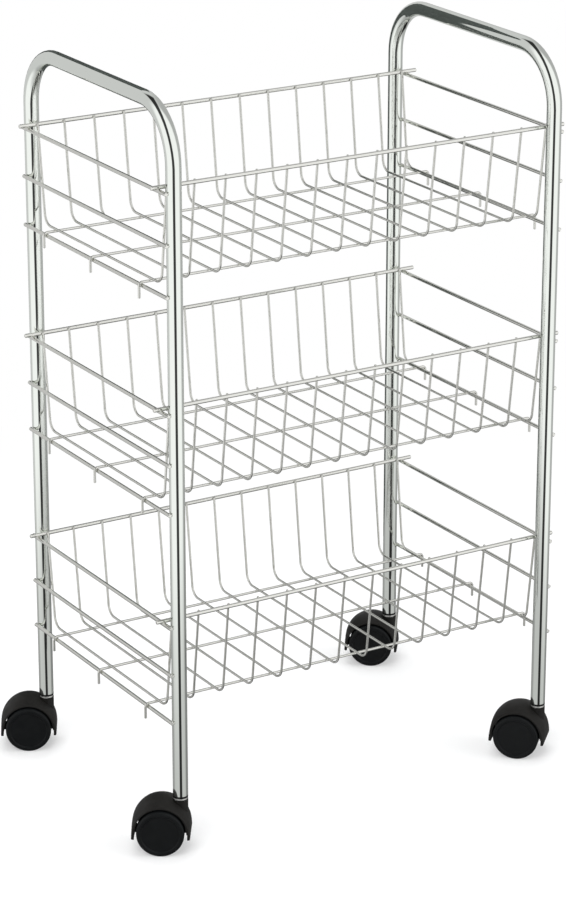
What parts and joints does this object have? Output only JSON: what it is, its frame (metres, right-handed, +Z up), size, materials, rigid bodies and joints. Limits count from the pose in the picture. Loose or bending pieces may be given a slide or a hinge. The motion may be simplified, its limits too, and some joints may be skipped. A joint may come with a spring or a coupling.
{
  "type": "wire basket trolley",
  "caption": "Slim kitchen trolley: chromed tube end frames with arched handles carry hook-on wire baskets in tiers, on black hooded twin-wheel swivel castors.",
  "frame": {"origin": "on the floor, midway between the four legs", "axes": "+Z up, +X along the baskets towards the right end frame, -Y towards the front"},
  "size_m": [0.4207, 0.2972, 0.635],
  "materials": {
    "chrome_tube": "bright chrome plate on steel tube",
    "chrome_wire": "bright chrome plate on steel wire",
    "zinc_steel": "bright zinc plate on steel",
    "black_hood": "fine matt moulded nylon",
    "black_wheel": "satin moulded nylon",
    "black_socket": "moulded polyethylene"
  },
  "bodies": {
    "end_frames": {"left_end_frame": "chrome_tube", "left_bottom_cross_wires": "chrome_wire", "left_middle_cross_wires": "chrome_wire", "left_top_cross_wires": "chrome_wire", "right_end_frame": "chrome_tube", "right_bottom_cross_wires": "chrome_wire", "right_middle_cross_wires": "chrome_wire", "right_top_cross_wires": "chrome_wire", "front_left_castor_stem": "zinc_steel", "front_left_tube_socket": "black_socket", "front_right_castor_stem": "zinc_steel", "front_right_tube_socket": "black_socket", "back_left_castor_stem": "zinc_steel", "back_left_tube_socket": "black_socket", "back_right_castor_stem": "zinc_steel", "back_right_tube_socket": "black_socket", "stem_grip_rings": "zinc_steel"},
    "bottom_basket": {"bottom_basket_front_rim": "chrome_wire", "bottom_basket_back_rim": "chrome_wire", "bottom_basket_ribs": "chrome_wire", "bottom_basket_floor_wires": "chrome_wire"},
    "middle_basket": {"middle_basket_front_rim": "chrome_wire", "middle_basket_back_rim": "chrome_wire", "middle_basket_ribs": "chrome_wire", "middle_basket_floor_wires": "chrome_wire"},
    "top_basket": {"top_basket_front_rim": "chrome_wire", "top_basket_back_rim": "chrome_wire", "top_basket_ribs": "chrome_wire", "top_basket_floor_wires": "chrome_wire"},
    "front_left_castor": {"front_left_castor_hood": "black_hood", "front_left_castor_axle": "zinc_steel"},
    "front_left_castor_left_wheel": {"front_left_castor_left_wheel": "black_wheel"},
    "front_left_castor_right_wheel": {"front_left_castor_right_wheel": "black_wheel"},
    "front_right_castor": {"front_right_castor_hood": "black_hood", "front_right_castor_axle": "zinc_steel"},
    "front_right_castor_left_wheel": {"front_right_castor_left_wheel": "black_wheel"},
    "front_right_castor_right_wheel": {"front_right_castor_right_wheel": "black_wheel"},
    "back_left_castor": {"back_left_castor_hood": "black_hood", "back_left_castor_axle": "zinc_steel"},
    "back_left_castor_left_wheel": {"back_left_castor_left_wheel": "black_wheel"},
    "back_left_castor_right_wheel": {"back_left_castor_right_wheel": "black_wheel"},
    "back_right_castor": {"back_right_castor_hood": "black_hood", "back_right_castor_axle": "zinc_steel"},
    "back_right_castor_left_wheel": {"back_right_castor_left_wheel": "black_wheel"},
    "back_right_castor_right_wheel": {"back_right_castor_right_wheel": "black_wheel"}
  },
  "joints": [
    {"name": "bottom_basket_lift", "type": "slide", "parent": "end_frames", "child": "bottom_basket", "axis": [0, 0, 1], "range_m": [0, 0.036]},
    {"name": "middle_basket_lift", "type": "slide", "parent": "end_frames", "child": "middle_basket", "axis": [0, 0, 1], "range_m": [0, 0.036]},
    {"name": "top_basket_lift", "type": "slide", "parent": "end_frames", "child": "top_basket", "axis": [0, 0, 1], "range_m": [0, 0.0195]},
    {"name": "front_left_castor_swivel", "type": "hinge", "parent": "end_frames", "child": "front_left_castor", "pos_m": [-0.18, -0.12065, 0.045], "axis": [0, 0, 1], "continuous": true},
    {"name": "front_left_castor_left_wheel_spin", "type": "hinge", "parent": "front_left_castor", "child": "front_left_castor_left_wheel", "pos_m": [-0.19342, -0.11194, 0.02], "axis": [0.5446, 0.8387, 0], "continuous": true},
    {"name": "front_left_castor_right_wheel_spin", "type": "hinge", "parent": "front_left_castor", "child": "front_left_castor_right_wheel", "pos_m": [-0.19342, -0.11194, 0.02], "axis": [0.5446, 0.8387, 0], "continuous": true},
    {"name": "front_right_castor_swivel", "type": "hinge", "parent": "end_frames", "child": "front_right_castor", "pos_m": [0.18, -0.12065, 0.045], "axis": [0, 0, 1], "continuous": true},
    {"name": "front_right_castor_left_wheel_spin", "type": "hinge", "parent": "front_right_castor", "child": "front_right_castor_left_wheel", "pos_m": [0.16869, -0.10934, 0.02], "axis": [0.7071, 0.7071, 0], "continuous": true},
    {"name": "front_right_castor_right_wheel_spin", "type": "hinge", "parent": "front_right_castor", "child": "front_right_castor_right_wheel", "pos_m": [0.16869, -0.10934, 0.02], "axis": [0.7071, 0.7071, 0], "continuous": true},
    {"name": "back_left_castor_swivel", "type": "hinge", "parent": "end_frames", "child": "back_left_castor", "pos_m": [-0.18, 0.12065, 0.045], "axis": [0, 0, 1], "continuous": true},
    {"name": "back_left_castor_left_wheel_spin", "type": "hinge", "parent": "back_left_castor", "child": "back_left_castor_left_wheel", "pos_m": [-0.19399, 0.12841, 0.02], "axis": [0.4848, 0.8746, 0], "continuous": true},
    {"name": "back_left_castor_right_wheel_spin", "type": "hinge", "parent": "back_left_castor", "child": "back_left_castor_right_wheel", "pos_m": [-0.19399, 0.12841, 0.02], "axis": [0.4848, 0.8746, 0], "continuous": true},
    {"name": "back_right_castor_swivel", "type": "hinge", "parent": "end_frames", "child": "back_right_castor", "pos_m": [0.18, 0.12065, 0.045], "axis": [0, 0, 1], "continuous": true},
    {"name": "back_right_castor_left_wheel_spin", "type": "hinge", "parent": "back_right_castor", "child": "back_right_castor_left_wheel", "pos_m": [0.16722, 0.13028, 0.02], "axis": [0.6018, 0.7986, 0], "continuous": true},
    {"name": "back_right_castor_right_wheel_spin", "type": "hinge", "parent": "back_right_castor", "child": "back_right_castor_right_wheel", "pos_m": [0.16722, 0.13028, 0.02], "axis": [0.6018, 0.7986, 0], "continuous": true}
  ]
}
